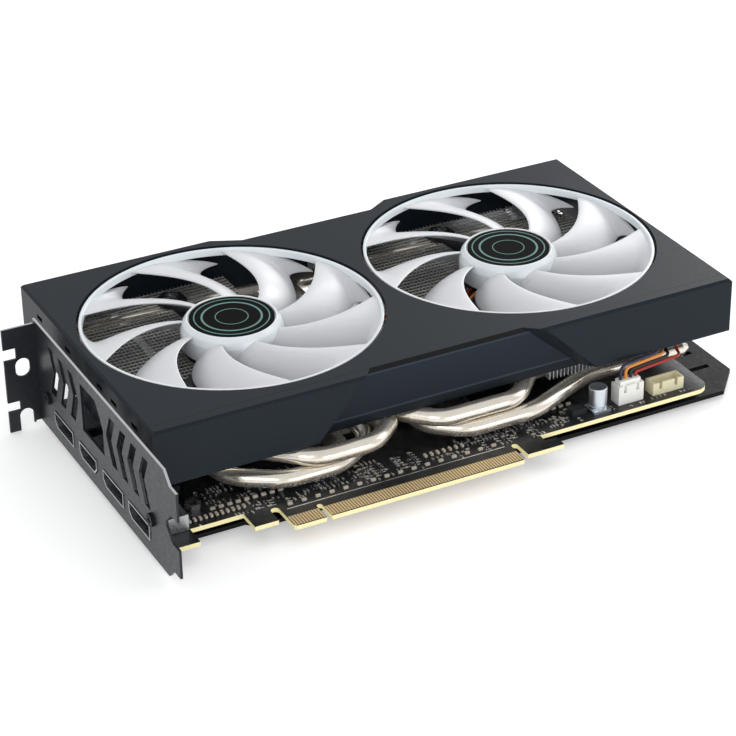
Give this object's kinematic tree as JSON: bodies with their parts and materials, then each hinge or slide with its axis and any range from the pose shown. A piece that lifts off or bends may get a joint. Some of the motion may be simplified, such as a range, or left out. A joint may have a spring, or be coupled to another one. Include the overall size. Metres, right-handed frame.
{
  "type": "graphics card",
  "caption": "Dual-slot graphics card: slim dark shroud over a finned heat-pipe cooler, translucent ring-bladed fans, vented bracket and edge connector.",
  "frame": {"origin": "foot of the edge connector, middle of its key notch, on the board's component face", "axes": "+X from the bracket to the far end, +Y from the edge connector to the top edge, +Z from the board towards the fans"},
  "size_m": [0.2369, 0.1443, 0.0418],
  "materials": {
    "backplate": "black powder coat on aluminium sheet",
    "bearing_bronze": "sintered bronze",
    "black_plastic": "moulded nylon",
    "board": "glass-fibre laminate with black solder mask",
    "bracket": "satin black-grey coat on steel sheet, bare at its cut edges",
    "can_aluminium": "drawn can, satin",
    "ceramic_part": "tan ceramic with tinned ends",
    "chip_epoxy": "black epoxy",
    "contact_gold": "gold over nickel",
    "ferrite": "grey sintered ferrite",
    "fin_aluminium": "rolled sheet",
    "frosted_plastic": "frosted translucent white polycarbonate",
    "header_cream": "cream nylon",
    "header_white": "natural nylon",
    "hub_disc": "gloss black printed foil",
    "lead_black_insulation": "PVC insulation",
    "lead_blue_insulation": "PVC insulation",
    "lead_red_insulation": "PVC insulation",
    "lead_yellow_insulation": "PVC insulation",
    "paste": "grey paste",
    "plate_aluminium": "milled",
    "plated_copper": "nickel plate on copper",
    "plated_pipe": "bright nickel plate on copper tube",
    "port_steel": "nickel plate",
    "screw_black": "black oxide",
    "screw_steel": "nickel plate",
    "shroud": "satin moulded ABS, dark slate blue",
    "silicon": "polished silicon",
    "spring_steel": "zinc plate",
    "stator_copper": "enamelled copper wire on steel laminations",
    "substrate": "green laminate"
  },
  "bodies": {
    "card": {"backplate": "backplate", "backplate_screws": "screw_black", "bearings": "bearing_bronze", "bios_switch_body": "black_plastic", "board_nuts": "screw_steel", "bracket_screws": "screw_black", "chip_capacitors": "ceramic_part", "cold_plate": "plated_copper", "control_chips": "chip_epoxy", "edge_contacts": "contact_gold", "fan_base_screws": "screw_steel", "fan_bases": "black_plastic", "fan_header": "header_white", "fan_plug": "header_white", "fin_stack_centre": "fin_aluminium", "fin_stack_left": "fin_aluminium", "fin_stack_right": "fin_aluminium", "heat_pipe_1": "plated_pipe", "heat_pipe_2": "plated_pipe", "heat_pipe_3": "plated_pipe", "heat_pipe_4": "plated_pipe", "inductors": "ferrite", "io_bracket": "bracket", "lead_black": "lead_black_insulation", "lead_blue": "lead_blue_insulation", "lead_red": "lead_red_insulation", "lead_yellow": "lead_yellow_insulation", "led_switch_body": "black_plastic", "memory_chips": "chip_epoxy", "pcb": "board", "polymer_capacitors": "can_aluminium", "port_shells": "port_steel", "port_tongues": "black_plastic", "power_pins": "port_steel", "power_socket": "black_plastic", "power_stage_plate": "plate_aluminium", "power_stages": "chip_epoxy", "processor_die": "silicon", "processor_substrate": "substrate", "retention_plate": "spring_steel", "shroud": "shroud", "shroud_screws": "screw_black", "spare_header": "header_cream", "spring_screws": "screw_steel", "stators": "stator_copper", "tall_capacitor": "can_aluminium", "thermal_paste": "paste"},
    "rotor_left": {"fan_left": "frosted_plastic", "hub_cap_left": "hub_disc", "rotor_cup_left": "spring_steel", "magnet_ring_left": "ferrite", "shaft_left": "screw_steel"},
    "rotor_right": {"fan_right": "frosted_plastic", "hub_cap_right": "hub_disc", "rotor_cup_right": "spring_steel", "magnet_ring_right": "ferrite", "shaft_right": "screw_steel"},
    "bios_slider": {"bios_switch_slider": "header_white"},
    "led_slider": {"led_switch_slider": "header_white"}
  },
  "joints": [
    {"name": "fan_left_spin", "type": "hinge", "parent": "card", "child": "rotor_left", "pos_m": [0.0043, 0.0805, 0.0236], "axis": [0, 0, 1], "continuous": true},
    {"name": "fan_right_spin", "type": "hinge", "parent": "card", "child": "rotor_right", "pos_m": [0.1119, 0.0805, 0.0236], "axis": [0, 0, 1], "continuous": true},
    {"name": "bios_switch_slide", "type": "slide", "parent": "card", "child": "bios_slider", "axis": [1, 0, 0], "range_m": [0, 0.004]},
    {"name": "led_switch_slide", "type": "slide", "parent": "card", "child": "led_slider", "axis": [1, 0, 0], "range_m": [0, 0.004]}
  ]
}
